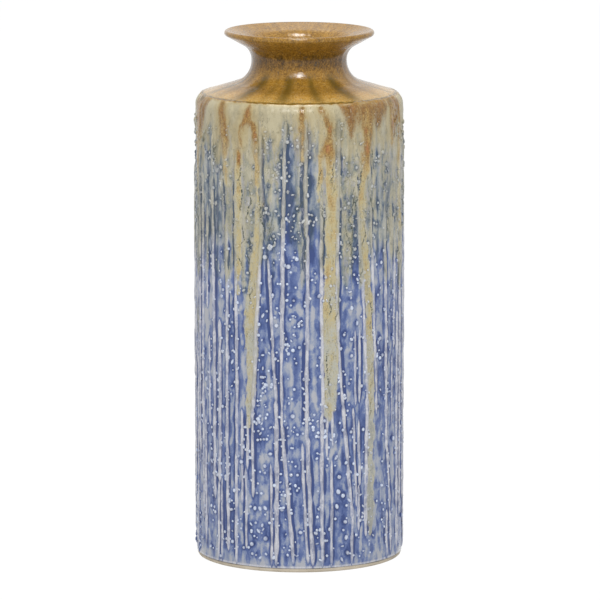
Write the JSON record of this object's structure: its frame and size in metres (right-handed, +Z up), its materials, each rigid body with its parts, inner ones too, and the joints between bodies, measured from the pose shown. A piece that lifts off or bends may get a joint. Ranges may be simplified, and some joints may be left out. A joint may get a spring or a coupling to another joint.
{
  "type": "ceramic bud vase",
  "caption": "Tall stoneware cylinder vase with a sloping shoulder, a waisted flared neck and slip-trailed relief under a runny blue and amber glaze; holds cut stems.",
  "frame": {"origin": "middle of the foot, on the surface that the vase stands on", "axes": "+Z up along the vase's axis, from the foot to the lip; the pictured front faces -Y"},
  "size_m": [0.1214, 0.1217, 0.305],
  "materials": {
    "bare_clay": "matte unglazed stoneware",
    "blue_glaze": "glossy cobalt blue glaze with amber runs",
    "amber_glaze": "glossy amber brown glaze",
    "glazed_slip": "pale slip under a thin clear-breaking glaze"
  },
  "bodies": {
    "root": {"floor_slab": "bare_clay", "body_wall": "blue_glaze", "shoulder": "amber_glaze", "flared_neck": "amber_glaze", "long_slip_trails": "glazed_slip", "short_slip_trails": "glazed_slip", "large_slip_beads": "glazed_slip", "small_slip_beads": "glazed_slip"}
  },
  "joints": []
}
